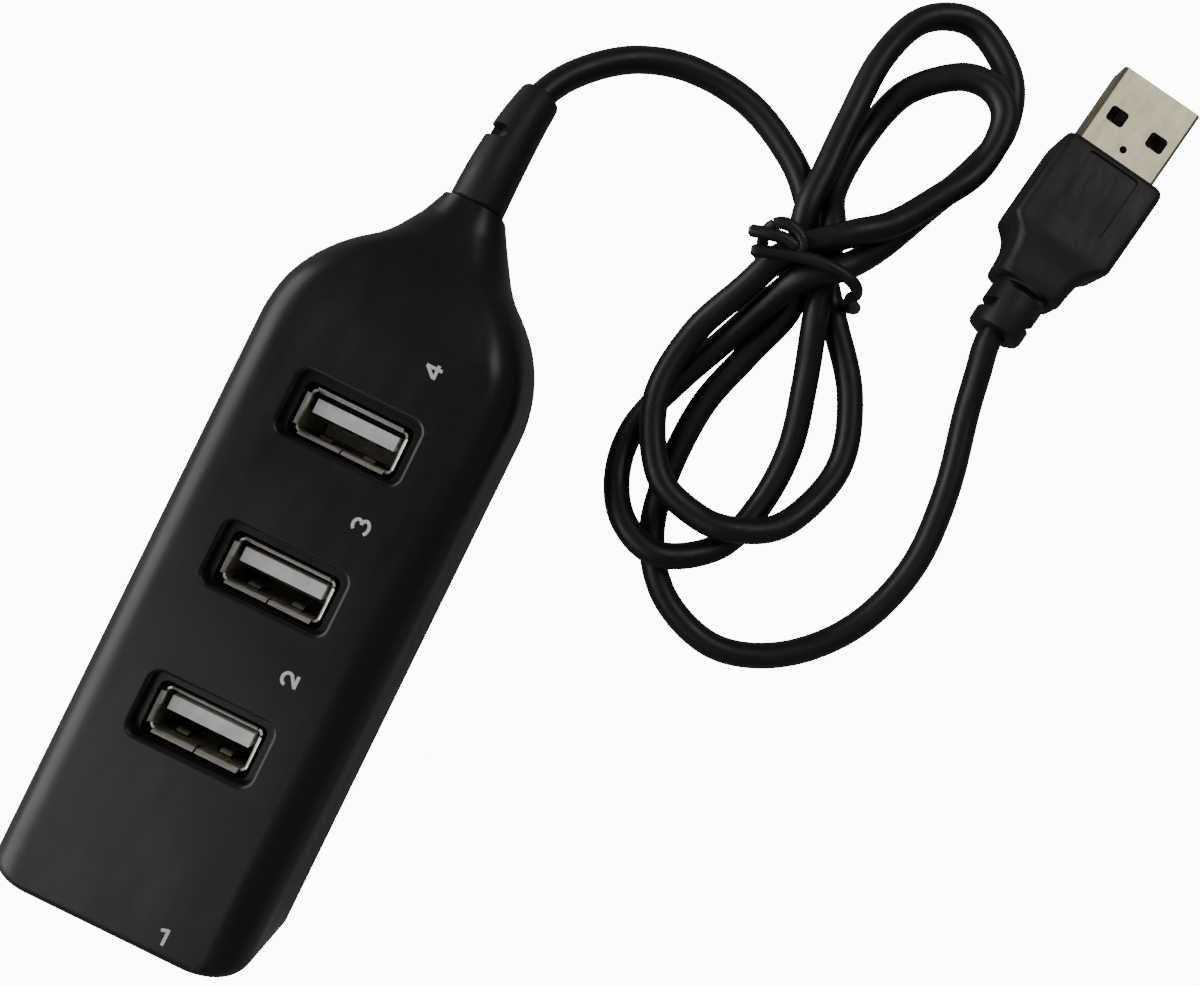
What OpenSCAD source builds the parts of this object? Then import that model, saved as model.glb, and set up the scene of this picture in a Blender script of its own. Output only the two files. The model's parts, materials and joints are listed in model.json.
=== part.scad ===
// Four-port USB-A hub: two-piece case, board, four sockets, moulded boot,
// coiled cable held by a twist tie, and a USB-A plug with its moulded grip.
// Origin: centre of the case's underside. +Y runs to the cable end, +Z is up.

/* [Case] */
// Length of the case
case_l = 100; // [98:0.5:102]
// Width of the case
case_w = 34.3; // [34:0.1:36]
// Height of the case
case_h = 19.5; // [19.5:0.1:20]
// Height of the seam between the two covers
seam_z = 9.8; // [9.6:0.1:10]
// Wall thickness
wall = 1.6; // [1.4:0.1:1.8]
// Radius of the long top edges
top_edge_r = 4.8; // [4:0.1:5]
// Radius of the long bottom edges
bottom_edge_r = 1.5; // [1.4:0.1:2]
// Radius of the tail corners, seen from above
tail_corner_r = 2.8; // [2.6:0.1:3.4]

/* [Ports] */
// Distance between neighbouring top ports
port_pitch = 20.3; // [20:0.1:20.6]
// Place of the middle top port along the case
port_3_y = -2.6; // [-3:0.1:-2.2]
// Length of a port window
window_w = 16.7; // [16.2:0.1:17]
// Width of a port window
window_d = 8.6; // [8.4:0.1:9]
// Depth of a port window below the outer face
window_recess = 1.4; // [1.2:0.1:1.5]
// Outer width of a socket shell
socket_w = 13.1; // [13:0.05:13.2]
// Outer depth of a socket shell
socket_d = 5.72; // [5.7:0.01:5.8]
// Length of a socket from its foot to its mouth
socket_h = 14; // [13.9:0.1:14.1]
// Thickness of the socket and plug sheet metal
sheet = 0.3; // [0.25:0.05:0.35]

/* [Board] */
// Thickness of the circuit board
board_t = 1.6; // [1.5:0.1:1.6]
// Height of the board's upper face
board_top = 4; // [4:0.1:4.1]
// Width of the circuit board
board_w = 28; // [26:0.5:28.5]

/* [Cable] */
// Outer diameter of the cable
cable_d = 3.6; // [3.2:0.1:3.6]
// Length of the moulded boot outside the case
boot_l = 17.1; // [16.6:0.1:17.6]
// Diameter of the boot where it leaves the case
boot_base_d = 7.3; // [7:0.1:7.5]
// Diameter of the boot at its tip
boot_tip_d = 5.4; // [5:0.1:5.6]
// Width of the twist tie's ribbon
tie_w = 1.6; // [1.4:0.1:1.8]
// Thickness of the twist tie's ribbon
tie_t = 0.8; // [0.6:0.1:0.8]

/* [Plug] */
// Width of the plug shell
plug_w = 12; // [11.95:0.01:12.05]
// Height of the plug shell
plug_h = 4.5; // [4.45:0.01:4.55]
// Length of plug shell that stands out of the grip
plug_out = 11.75; // [11.7:0.05:12]
// Width of the plug's grip
grip_w = 15.1; // [14.5:0.1:15.5]
// Thickness of the plug's grip
grip_t = 8.6; // [8:0.1:8.6]
// Direction of the plug, turned from +Y towards +X
plug_turn = 8.5; // [8:0.1:9]

/* [Hidden] */
$fn = 32;
// a small overrun that lets cutters pass fully through a face
over = 0.5;
// how far joined shapes run into each other
sink = 0.1;

// case profile
tail_y = -case_l / 2;
neck_y = case_l / 2;
half_w = case_w / 2;
shoulder_y = 25.6;
shoulder_r = 20.2;
shoulder_end = 50;
throat_r = 10;
throat_end = 29;
bend_y = shoulder_y + shoulder_r * sin(shoulder_end);
bend_half = half_w - shoulder_r * (1 - cos(shoulder_end));
straight_y = bend_y + throat_r * (sin(shoulder_end) - sin(throat_end));
tail_edge_r = 1.2;
corner_steps = 6;
neck_top_z = 14.8;
neck_bottom_z = 7.2;
slope_top_y = 30.6;
slope_bottom_y = 36.6;
slope_end_y = neck_y - 0.4;
boot_z = (neck_top_z + neck_bottom_z) / 2;

// seam lip
lip_h = 1.2;
lip_t = 0.8;
fit_gap = 0.05;
window_shift = 0.4;

// sockets
lip_flare = 0.65;
lip_flare_h = 0.8;
socket_r = 0.6;
tongue_w = 11.1;
tongue_t = 1.84;
tongue_top = socket_h - 1.2;
block_top = 2.1;
bead_z = 11;
tip_z = 12.2;
socket_1_mouth_y = tail_y + window_recess - 0.1;
socket_1_z = board_top + socket_d / 2 + fit_gap;
contact_x = [-3.5, -1, 1, 3.5];
contact_w = 1;
slot_depth = 0.8;
hinge_y = 0.4;
hinge_z = block_top + 0.3;
hinge_r = 0.2;
leaf_t = 0.2;
tail_pin = 0.5;
leg_w = 1.6;
leg_1_from_mouth = 8;
spring_x = 3;
spring_z = 5.4;
spring_l = 6;
spring_w = 2;
spring_slot = 0.3;
tail_drop = board_t + 0.5;
tail_row_y = [0.8, -1.2, -1.2, 0.8];

// board
board_tail_y = tail_y + 2.8;
board_neck_y = 31.6;
board_chamfer = 4;
peg_r = 1.2;
peg_x = 11;
peg_y = [-30, 26];
peg_over = 0.5;
rib_x = 12.5;
rib_t = 1;
rib_l = 70;
pad_y = 28;

// boot and cable
jacket_y = 43.4;
core_r = 0.5;
stem_r = 2.15;
flange_r = 2.55;
flange_l = 2;
neck_wall = 4;
boot_taper = 1.7;
notch_w = 1.9;
notch_y = 60;
notch_end_x = 0.1;
notch_floor_z = 9.6;
tube_sides = 12;
steps = 3;

// twist tie round the bundle
tie_place = [41.9, 63];
tie_turn = 6;
tie_span = 15.2;
tie_rise = 13.8;
tie_r = 3.6;

// plug
plug_base = [72.15, 93.35, 4.4];
shell_in = 6;
core_l = 13.6;
grip_l = 13;
collar_y = 20.2;
ring_y = [23.4, 24.8];
sleeve_r = 3.8;
grip_end = 26.9;
panel_w = 7.6;
panel_l = 9;
panel_depth = 0.35;
plug_wall_r = 0.55;
latch_x = 3.13;
latch_y = 5.5;
latch_w = 2.6;
latch_l = 2.2;

// ---------------------------------------------------------------- helpers

function unit(v) = v / norm(v);

function between(a, b, t) = a + (b - a) * t;

// smooth step from 0 to 1 as t goes from 0 to 1
function ease(t) = let (u = min(max(t, 0), 1)) u * u * (3 - 2 * u);

function spline_at(a, b, c, d, t) =
    0.5 * (2 * b + (c - a) * t + (2 * a - 5 * b + 4 * c - d) * t * t + (3 * b - a - 3 * c + d) * t * t * t);

// Catmull-Rom curve through the points p, with n steps between neighbours
function spline(p, n) = let (last = len(p) - 1) [
    for (i = [0 : last - 1])
        let (before = i == 0 ? 2 * p[0] - p[1] : p[i - 1])
        let (after = i + 2 > last ? 2 * p[last] - p[last - 1] : p[i + 2])
        for (k = [0 : n - 1]) spline_at(before, p[i], p[i + 1], after, k / n),
    p[last]
];

function part_of(p, first, last) = [for (i = [first : last]) p[i]];

// closed skin over rings that each hold the same number of points
module skin(rings) {
    n = len(rings);
    m = len(rings[0]);
    sides = [for (i = [0 : n - 2], k = [0 : m - 1])
        [i * m + k, i * m + (k + 1) % m, (i + 1) * m + (k + 1) % m, (i + 1) * m + k]];
    first = [for (k = [0 : m - 1]) m - 1 - k];
    last = [for (k = [0 : m - 1]) (n - 1) * m + k];
    polyhedron(points = [for (r = rings) each r], faces = concat(sides, [first, last]), convexity = 12);
}

// ring of points round centre c, in the plane square to direction t
function round_ring(c, t, r, sides) =
    let (across = unit(cross(t, [0, 0, 1])))
    let (up = cross(across, t))
    [for (k = [0 : sides - 1]) let (a = 360 * k / sides) c + r * (cos(a) * across + sin(a) * up)];

// tube along a path; r is one radius, or a list with one radius for each point
module tube(path, r, sides = tube_sides) {
    last = len(path) - 1;
    skin([for (i = [0 : last])
        let (t = unit(path[min(i + 1, last)] - path[max(i - 1, 0)]))
        round_ring(path[i], t, is_list(r) ? r[i] : r, sides)]);
}

module rounded_box(w, d, h, r) {
    linear_extrude(h) rounded_plate(w, d, r);
}

module rounded_plate(w, d, r) {
    square([w - 2 * r, d], center = true);
    square([w, d - 2 * r], center = true);
    for (sx = [-1, 1], sy = [-1, 1])
        translate([sx * (w / 2 - r), sy * (d / 2 - r)]) circle(r);
}

// ---------------------------------------------------------------- case form

// how far a quarter round of radius r draws back, at a distance d from its start
function quarter_drop(r, d) = let (left = r - min(max(d, 0), r)) r - sqrt(r * r - left * left);

// half width of the case at a place along it
function plan_half(y) =
    y < bend_y ? shoulder_half(y) - quarter_drop(tail_corner_r, y - tail_y) : throat_half(y);

function shoulder_half(y) =
    let (u = max((y - shoulder_y) / shoulder_r, 0))
    half_w - shoulder_r * (1 - sqrt(1 - u * u));

// past the shoulder the sides curve back outwards, then run straight to the neck's end
function throat_half(y) =
    let (angle = asin(max(sin(shoulder_end) - (y - bend_y) / throat_r, sin(throat_end))))
    bend_half - throat_r * (cos(angle) - cos(shoulder_end)) - max(0, y - straight_y) * tan(throat_end);

function top_at(y) =
    between(case_h, neck_top_z, ease((y - slope_top_y) / (slope_end_y - slope_top_y)))
        - quarter_drop(tail_edge_r, y - tail_y);

function bottom_at(y) =
    between(0, neck_bottom_z, ease((y - slope_bottom_y) / (slope_end_y - slope_bottom_y)))
        + quarter_drop(tail_edge_r, y - tail_y);

function corner(cx, cz, r, from) =
    [for (k = [0 : corner_steps]) let (a = from + 90 * k / corner_steps) [cx + r * cos(a), cz + r * sin(a)]];

// cross section of the case, inset by a wall thickness
function case_ring(y, inset) =
    let (w = plan_half(y) - inset)
    let (hi = top_at(y) - inset)
    let (lo = bottom_at(y) + inset)
    let (rt = max(0.3, min(top_edge_r, w * 0.8) - inset))
    let (rb = max(0.3, min(bottom_edge_r + 1.6 * ease((y - slope_bottom_y) / 8), w * 0.8) - inset))
    let (outline = concat(corner(w - rt, hi - rt, rt, 0), corner(rt - w, hi - rt, rt, 90),
        corner(rb - w, lo + rb, rb, 180), corner(w - rb, lo + rb, rb, 270)))
    [for (i = [0 : len(outline) - 1]) [outline[i][0], y, outline[i][1]]];

// places of the cross sections: dense at the tail corner and in the shoulder
function stations(from, to) = concat(
    [for (k = [0 : 6]) from + tail_corner_r * (1 - cos(15 * k))],
    [for (k = [0 : 18]) between(shoulder_y, to, k / 18)]);

module case_form(inset, to = neck_y) {
    skin([for (y = stations(tail_y + 0.01, to)) case_ring(y, inset)]);
}

// the case's hollow: the form inset by t, kept clear of the end wall and the neck wall
module hollow(t) {
    intersection() {
        case_form(t);
        translate([-half_w, tail_y + t, -over])
            cube([case_w, case_l - t - neck_wall, case_h + 2 * over]);
    }
}

module above_seam() {
    translate([-half_w - over, tail_y - over, seam_z])
        cube([case_w + 2 * over, case_l + 2 * over, case_h]);
}

module below(z) {
    translate([-half_w - over, tail_y - over, z - case_h])
        cube([case_w + 2 * over, case_l + 2 * over, case_h]);
}

// ---------------------------------------------------------------- placing

function port_y(n) = port_3_y + (n - 3) * port_pitch;

// puts a child, drawn on the board plane with its mouth up, at port 1 to 4
module at_port(n) {
    if (n == 1)
        translate([0, socket_1_mouth_y + socket_h, socket_1_z]) rotate([90, 0, 0]) children();
    else
        translate([0, port_y(n), board_top]) children();
}

module window_cut(n) {
    at_port(n) {
        translate([0, window_shift, socket_h - fit_gap]) rounded_box(window_w, window_d, 5, 1.2);
        translate([0, 0, socket_h - 4]) rounded_box(window_w - 1.9, window_d - 1.2, 5, 1);
    }
}

// frame moulded behind a window, closing the gap round the socket
module window_frame(n) {
    at_port(n) translate([0, 0, socket_h - 1.5]) rounded_box(window_w + 2, window_d + 2, 1.45, 1.5);
}

module neck_bore() {
    translate([0, neck_y + over, boot_z]) rotate([90, 0, 0])
        cylinder(h = neck_wall + 2 * over, r = stem_r + fit_gap);
}

// ---------------------------------------------------------------- covers

module top_cover() {
    color([0.13, 0.13, 0.14]) difference() {
        union() {
            intersection() {
                difference() {
                    case_form(0);
                    hollow(wall);
                }
                above_seam();
            }
            intersection() {
                case_form(wall / 2);
                above_seam();
                for (n = [1 : 4]) window_frame(n);
            }
        }
        intersection() {
            hollow(wall - lip_t - fit_gap);
            below(seam_z + lip_h + 0.1);
        }
        for (n = [1 : 4]) window_cut(n);
        neck_bore();
    }
}

module bottom_cover() {
    color([0.12, 0.12, 0.13]) difference() {
        union() {
            intersection() {
                difference() {
                    case_form(0);
                    hollow(wall);
                }
                below(seam_z);
            }
            intersection() {
                difference() {
                    hollow(wall - lip_t);
                    hollow(wall);
                }
                below(seam_z + lip_h);
                translate([0, 0, -lip_h]) above_seam();
            }
            intersection() {
                case_form(wall / 2);
                below(seam_z);
                window_frame(1);
            }
            for (sx = [-1, 1]) {
                translate([sx * rib_x - rib_t / 2, board_tail_y + 2, wall - sink])
                    cube([rib_t, rib_l, board_top - board_t - wall + sink]);
                for (y = peg_y) translate([sx * peg_x, y, wall - sink])
                    cylinder(h = board_top - wall + peg_over, r = peg_r);
            }
        }
        window_cut(1);
        neck_bore();
    }
}

// ---------------------------------------------------------------- board

module circuit_board() {
    w = board_w / 2;
    color([0.05, 0.32, 0.16]) translate([0, 0, board_top - board_t]) difference() {
        linear_extrude(board_t) polygon([
            [-w, board_tail_y], [w, board_tail_y],
            [w, board_neck_y - board_chamfer], [w - board_chamfer, board_neck_y],
            [board_chamfer - w, board_neck_y], [-w, board_neck_y - board_chamfer]]);
        translate([0, 0, -over]) linear_extrude(board_t + 2 * over) {
            for (sx = [-1, 1], y = peg_y) translate([sx * peg_x, y]) circle(peg_r + 2 * fit_gap);
            for (n = [1 : 4]) {
                for (i = [0 : 3]) translate([contact_x[i], tail_y_at(n, i)]) circle(tail_pin * 0.9);
                for (sx = [-1, 1]) translate([sx * (socket_w - sheet) / 2, leg_y(n)])
                    square([sheet + 0.5, leg_w + 0.6], center = true);
            }
        }
    }
}

// place of a contact's solder tail, and of a shell's leg, along the board
function tail_y_at(n, i) =
    n == 1 ? socket_1_mouth_y + socket_h + 1 + tail_row_y[i] / 2 : port_y(n) + tail_row_y[i];
function leg_y(n) = n == 1 ? socket_1_mouth_y + leg_1_from_mouth : port_y(n);

module chip_leg(side, x) {
    translate([x - 0.15, side > 0 ? 1.9 : -3.1, 0]) cube([0.3, 1.2, 0.2]);
}

// sixteen-lead hub controller
module hub_chip() {
    color([0.08, 0.08, 0.08]) translate([5.5, 7.2, board_top]) {
        translate([-5, -1.95, 0.1]) cube([10, 3.9, 1.4]);
        for (side = [-1, 1], i = [0 : 7]) chip_leg(side, (i - 3.5) * 1.2);
    }
}

module crystal() {
    color([0.75, 0.76, 0.78]) translate([-7.2, 7.2, board_top]) {
        rounded_box(10.2, 3.6, 3.4, 1.7);
        rounded_box(11, 4.4, 0.4, 2.1);
    }
}

module capacitor() {
    color([0.1, 0.1, 0.3]) translate([-7.5, -13, board_top]) {
        cylinder(h = 1, r = 2.5);
        translate([0, 0, 1]) cylinder(h = 0.4, r = 2.35);
        translate([0, 0, 1.4]) cylinder(h = 5.2, r = 2.5);
    }
}

// small resistors and capacitors, each a block with two end caps
module chip_parts() {
    places = [[4, -12], [7, -12], [10, -12], [4, -15], [7, -15], [-3, -13], [0, -13], [7, 24], [-9, 22]];
    color([0.45, 0.36, 0.28]) for (p = places) translate([p[0], p[1], board_top]) {
        translate([-0.4, -0.4, 0]) cube([0.8, 0.8, 0.5]);
        for (sx = [-1, 1]) translate([sx * 0.6 - 0.2, -0.45, 0]) cube([0.4, 0.9, 0.55]);
    }
}

// ---------------------------------------------------------------- sockets

// flared lip on one side of a socket's mouth, half the shell's depth or width from its axis
module mouth_lip(length, half) {
    flare_z = socket_h - lip_flare_h;
    translate([-length / 2, 0, 0]) rotate([90, 0, 90]) linear_extrude(length) polygon([
        [half - sheet, flare_z - 0.2], [half, flare_z - 0.2], [half, flare_z],
        [half + lip_flare, socket_h - 0.2], [half + lip_flare, socket_h],
        [half + lip_flare - sheet, socket_h], [half - sheet, flare_z]]);
}

// spring tab: a slot on three sides frees a narrow tongue of sheet
module spring_cut() {
    for (sx = [-1, 1]) translate([sx * spring_w / 2 - spring_slot / 2, -sheet, 0])
        cube([spring_slot, 2 * sheet, spring_l]);
    translate([-spring_w / 2, -sheet, spring_l - spring_slot]) cube([spring_w, 2 * sheet, spring_slot]);
}

module socket_shell(n) {
    flare_z = socket_h - lip_flare_h;
    color([0.8, 0.8, 0.78]) at_port(n) difference() {
        union() {
            translate([0, 0, 0.1]) rounded_box(socket_w, socket_d, flare_z - 0.1, socket_r);
            for (a = [0, 180]) rotate([0, 0, a]) {
                mouth_lip(socket_w - 1.6, socket_d / 2);
                rotate([0, 0, 90]) mouth_lip(socket_d - 1.6, socket_w / 2);
            }
            for (sx = [-1, 1]) shell_leg(n, sx);
        }
        translate([0, 0, -0.2])
            rounded_box(socket_w - 2 * sheet, socket_d - 2 * sheet, socket_h, socket_r - sheet / 2);
        for (sx = [-1, 1], sy = [-1, 1]) translate([sx * spring_x, sy * (socket_d - sheet) / 2, spring_z])
            spring_cut();
        translate([-0.1, -socket_d / 2 - 1, socket_h - 3]) cube([0.2, 1.5, 4]);
    }
}

// leg that goes through the board: straight down, or at a right angle on port 1
module shell_leg(n, sx) {
    x = sx * (socket_w - sheet) / 2 - sheet / 2;
    if (n == 1) translate([x, -socket_1_z + board_top - tail_drop, socket_h - leg_1_from_mouth - leg_w / 2])
        cube([sheet, tail_drop + socket_d / 2, leg_w]);
    else translate([x, -leg_w / 2, -tail_drop]) cube([sheet, leg_w, tail_drop + 1]);
}

module socket_insulator(n) {
    inner_w = socket_w - 2 * sheet - 2 * fit_gap;
    inner_d = socket_d - 2 * sheet - 2 * fit_gap;
    color([0.88, 0.88, 0.84]) at_port(n) difference() {
        union() {
            translate([0, 0, sheet])
                rounded_box(inner_w, inner_d, block_top - sheet, socket_r - sheet / 2 - fit_gap);
            translate([-tongue_w / 2, 0, block_top - sink])
                cube([tongue_w, tongue_t, tongue_top - block_top + sink]);
        }
        for (x = contact_x) translate([x - contact_w / 2 - 0.1, -over, block_top - fit_gap])
            cube([contact_w + 0.2, slot_depth + over, tip_z + 0.4 - block_top]);
    }
}

// four spring fingers: each turns about the round root at its foot
module socket_contacts(n) {
    color([0.83, 0.66, 0.3]) at_port(n) for (x = contact_x) translate([x - contact_w / 2, 0, 0]) {
        translate([0, hinge_y, hinge_z]) rotate([0, 90, 0]) cylinder(h = contact_w, r = hinge_r);
        rotate([90, 0, 90]) linear_extrude(contact_w) polygon([
            [hinge_y - hinge_r * 0.9, hinge_z], [hinge_y + hinge_r * 0.9, hinge_z],
            [-0.35 + leaf_t, bead_z], [0.05 + leaf_t, tip_z], [0.05, tip_z], [-0.4, bead_z]]);
    }
}

// solder tails of all sixteen contacts, below and through the board
module contact_tails() {
    color([0.8, 0.78, 0.7]) for (n = [1 : 4], i = [0 : 3])
        translate([contact_x[i] - tail_pin / 2, tail_y_at(n, i) - tail_pin / 2, board_top - tail_drop])
            cube([tail_pin, tail_pin, tail_drop + (n == 1 ? 1.6 : 0.28)]);
}

// ---------------------------------------------------------------- wires

// one insulated core from the jacket's end down to its pad on the board
module core(shift, pad_x, lift) {
    path = spline([
        [shift, jacket_y - 0.3, boot_z + lift],
        [between(shift, pad_x, 0.3), 38, between(board_top, boot_z, 0.6) + lift * 0.6],
        [between(shift, pad_x, 0.8), 32.5, board_top + 1.4],
        [pad_x, pad_y, board_top + core_r + 0.02]], 4);
    tube(path, core_r, 8);
}

module wire_red() { color([0.7, 0.08, 0.08]) core(-0.6, -6, 0.6); }
module wire_white() { color([0.85, 0.85, 0.83]) core(-0.6, -2, -0.6); }
module wire_green() { color([0.1, 0.45, 0.18]) core(0.6, 2, -0.6); }
module wire_black() { color([0.07, 0.07, 0.07]) core(0.6, 6, 0.6); }

// ---------------------------------------------------------------- cable

// Way-points of the cable's centre line, from the jacket's end in the case to the plug
lead_points = [[0, jacket_y, boot_z], [0, 50.4, boot_z], [0.1, 55.6, 10.9], [0.3, 61.6, 10.1],
    [0.8, 67.6, 8.9], [3.7, 73.4, 7], [9.1, 78.8, 4.6], [16.4, 81.5, 2.9], [25.3, 80.9, 2.1],
    [33.5, 76.8, 2], [38.3, 72.1, 2.2]];
first_loop = [[42.7, 66.4, 2.75], [48.3, 59.5, 2.7], [54.8, 51.3, 2.4], [57.7, 41.5, 3.1],
    [54.3, 31.6, 5.4], [48.2, 27.7, 7], [42.6, 27.3, 6.7], [36.1, 30, 6.5], [31.4, 38.7, 6.1],
    [32, 48.7, 5.8], [35.4, 56.7, 7.8], [38.4, 62.9, 9.5]];
inner_loop = [[44.5, 68.2, 10.9], [49.1, 72.3, 9.65], [53.3, 79, 7.3], [56.4, 84.7, 5.9],
    [57.1, 90.2, 5.9], [56, 94, 5.8], [52.8, 96, 5.5], [48.4, 95.3, 4.9], [43.3, 91, 3.2],
    [41, 83.3, 2.2], [40.6, 74.5, 4.4], [42.6, 69.1, 6.7], [44.2, 63.8, 6.5]];
second_loop = [[45.7, 57.8, 6.1], [48.5, 49.8, 3.5], [50.7, 41, 2.2], [50.4, 32.3, 2.1],
    [47.7, 24.8, 3.6], [40.9, 20.4, 5.8], [34.7, 22.3, 4.9], [31, 27.8, 2.6], [30.3, 34.8, 2],
    [32.9, 42.8, 2], [36.2, 50.3, 3.2], [39.1, 56.8, 6.1], [41.8, 61.1, 9.6]];
outer_loop = [[45.8, 64.3, 10], [49.1, 69.5, 7], [52.9, 78.2, 3.4], [56.5, 86.6, 2],
    [57.9, 93.1, 1.9], [55.5, 99.7, 2.1], [48.2, 104.2, 2.3], [41.5, 101.4, 3.2],
    [38.5, 93.3, 5.2], [38.2, 83.3, 6.1], [38.3, 75.5, 7.2], [38.4, 69.3, 7.5]];
third_loop = [[40.7, 62.8, 5.1], [42.2, 57.8, 3.1], [39.8, 49.9, 2.1], [37.3, 40.6, 1.9],
    [37.3, 29, 1.9], [39.5, 21.1, 1.9], [45, 14.9, 1.9], [53.6, 12.3, 1.9], [62.4, 15.6, 1.9],
    [69.4, 23.3, 1.9], [72.9, 33.7, 1.9], [72.6, 44.9, 1.9], [70.2, 56.2, 2.1]];
end_points = [[69, 61.3, 3.3], on_plug(-28), on_plug(-24), on_plug(-19), on_plug(-14.2)];
way_points = concat(lead_points, first_loop, inner_loop, second_loop, outer_loop, third_loop, end_points);
route = spline(way_points, steps);
lead_end = 5 * steps;
coil_end = (len(way_points) - 3 - len(end_points)) * steps;

// a point on the plug's axis, y ahead of the grip's front face
function on_plug(y) = plug_base + y * [sin(plug_turn), cos(plug_turn), 0];

// cable between two places on the route; neighbouring pieces share their end ring
module cable(first, last) {
    end = len(route) - 1;
    skin([for (i = [first : last])
        let (t = unit(route[min(i + 1, end)] - route[max(i - 1, 0)]))
        round_ring(route[i], t, cable_d / 2, tube_sides)]);
}

module hub_lead() { color([0.09, 0.09, 0.09]) cable(0, lead_end); }
module cable_coil() { color([0.09, 0.09, 0.09]) cable(lead_end, coil_end); }
module plug_lead() { color([0.09, 0.09, 0.09]) cable(coil_end, len(route) - 1); }

// boot: a flange and a stem held by the neck, then a tapering sleeve with one notch
module hub_boot() {
    axis = spline([[0, neck_y + 0.2, boot_z], [0.1, 55.6, 10.9], [0.3, 61.6, 10.1],
        [0.75, neck_y + boot_l, 9]], 4);
    last = len(axis) - 1;
    radii = [for (i = [0 : last]) between(boot_base_d, boot_tip_d, pow(i / last, boot_taper)) / 2];
    color([0.1, 0.1, 0.1]) difference() {
        union() {
            tube(axis, radii, 24);
            translate([0, neck_y + 1, boot_z]) rotate([90, 0, 0])
                cylinder(h = neck_wall + 1.2, r = stem_r);
            translate([0, neck_y - neck_wall, boot_z]) rotate([90, 0, 0])
                cylinder(h = flange_l, r = flange_r);
        }
        tube(part_of(route, 0, lead_end), cable_d / 2 + 0.01);
        translate([notch_end_x - notch_w / 2, notch_y, notch_floor_z]) {
            cylinder(h = case_h, r = notch_w / 2);
            translate([-boot_base_d, -notch_w / 2, 0]) cube([boot_base_d, notch_w, case_h]);
        }
    }
}

// tie: a ribbon once round the bundle, with its two ends twisted together on the left
module twist_tie() {
    color([0.06, 0.06, 0.06]) translate([tie_place[0], tie_place[1], 0]) rotate([0, 0, tie_turn]) {
        translate([0, 0, tie_rise / 2 + fit_gap]) rotate([90, 0, 0]) difference() {
            translate([0, 0, -tie_w / 2]) rounded_box(tie_span, tie_rise, tie_w, tie_r);
            translate([0, 0, -tie_w])
                rounded_box(tie_span - 2 * tie_t, tie_rise - 2 * tie_t, 2 * tie_w, tie_r - tie_t);
        }
        tube(spline([[-6.6, 0.4, 11.4], [-7.6, 1, 12.4], [-8.4, 0.8, 12.7], [-9.2, 0.2, 12.4]], 3),
            tie_w / 2, 8);
        tube(spline([[-7, 0.6, 10.4], [-7.2, 2.2, 11.6], [-6.4, 3.6, 12.6], [-5, 3.8, 13],
            [-3.4, 3.2, 13.2]], 3), tie_w / 2, 8);
    }
}

// ---------------------------------------------------------------- plug

// draws children with +Y along the plug, from the grip's front face
module at_plug() {
    translate(plug_base) rotate([0, 0, -plug_turn]) children();
}

function grip_ring(y, w, h, r) =
    let (outline = concat(corner(w - r, h - r, r, 0), corner(r - w, h - r, r, 90),
        corner(r - w, r - h, r, 180), corner(w - r, r - h, r, 270)))
    [for (i = [len(outline) - 1 : -1 : 0]) [outline[i][0], y, outline[i][1]]];

module plug_grip() {
    w = grip_w / 2;
    t = grip_t / 2;
    color([0.1, 0.1, 0.1]) at_plug() difference() {
        union() {
            skin([
                grip_ring(0, w - 0.5, t - 0.5, 1),
                grip_ring(-0.6, w - 0.05, t - 0.1, 1.3),
                grip_ring(-7, w, t, 1.5),
                grip_ring(-grip_l, w, t, 1.5),
                grip_ring(-grip_l - 0.3, w - 0.25, t, 1.6),
                grip_ring(-grip_l - 1, w - 0.95, t - 0.1, 1.8),
                grip_ring(-grip_l - 1.8, w - 1.65, t - 0.3, 2),
                grip_ring(-grip_l - 2.6, w - 2.05, t - 0.5, 2.1),
                grip_ring(-grip_l - 3.5, w - 2.35, t - 0.6, 2.2),
                grip_ring(-grip_l - 5, w - 2.55, t - 0.6, 2.3),
                grip_ring(-collar_y + 0.4, w - 2.65, t - 0.6, 2.4),
                grip_ring(-collar_y, w - 2.95, t - 0.8, 2.4)]);
            rotate([90, 0, 0]) cylinder(h = grip_end, r = 3);
            for (z = [-1, 1]) translate([-1.6, -grip_end + 1, z * 2.4 - 0.8]) cube([3.2, 8, 1.6]);
            translate([0, -ring_y[1], 0]) rotate([90, 0, 0]) cylinder(h = grip_end - ring_y[1], r = sleeve_r);
            translate([0, -collar_y - 1, 0]) rotate([90, 0, 0])
                cylinder(h = ring_y[0] - collar_y - 1, r = sleeve_r);
        }
        translate([-panel_w / 2, -panel_l - 1, t - panel_depth]) cube([panel_w, panel_l, 1]);
        translate([0, sink, 0]) rotate([90, 0, 0])
            rounded_box(plug_w + 2 * fit_gap, plug_h + 2 * fit_gap, shell_in + 2 * sink, plug_wall_r);
        translate([-5.6, -core_l - 0.1, -1.95]) cube([11.2, core_l, 3.9]);
        tube_bore();
    }
}

// passage for the cable through the grip's sleeve, wider at its mouth
module tube_bore() {
    translate([0, -core_l - 0.5, 0]) rotate([90, 0, 0]) cylinder(h = 16, r = cable_d / 2 + 0.02);
    translate([0, 2 - grip_end, 0]) rotate([90, 0, 0]) cylinder(h = 4, r = cable_d / 2 + 0.35);
}

// moulded block that grips the wires behind the contacts
module plug_core() {
    color([0.85, 0.85, 0.82]) at_plug() union() {
        translate([-5.5, -core_l, -1.85]) cube([11, core_l - shell_in - 0.1, 3.7]);
        translate([-5.5, -shell_in - 0.2, -1.85]) cube([11, shell_in - 1, 3.7]);
    }
}

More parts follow.
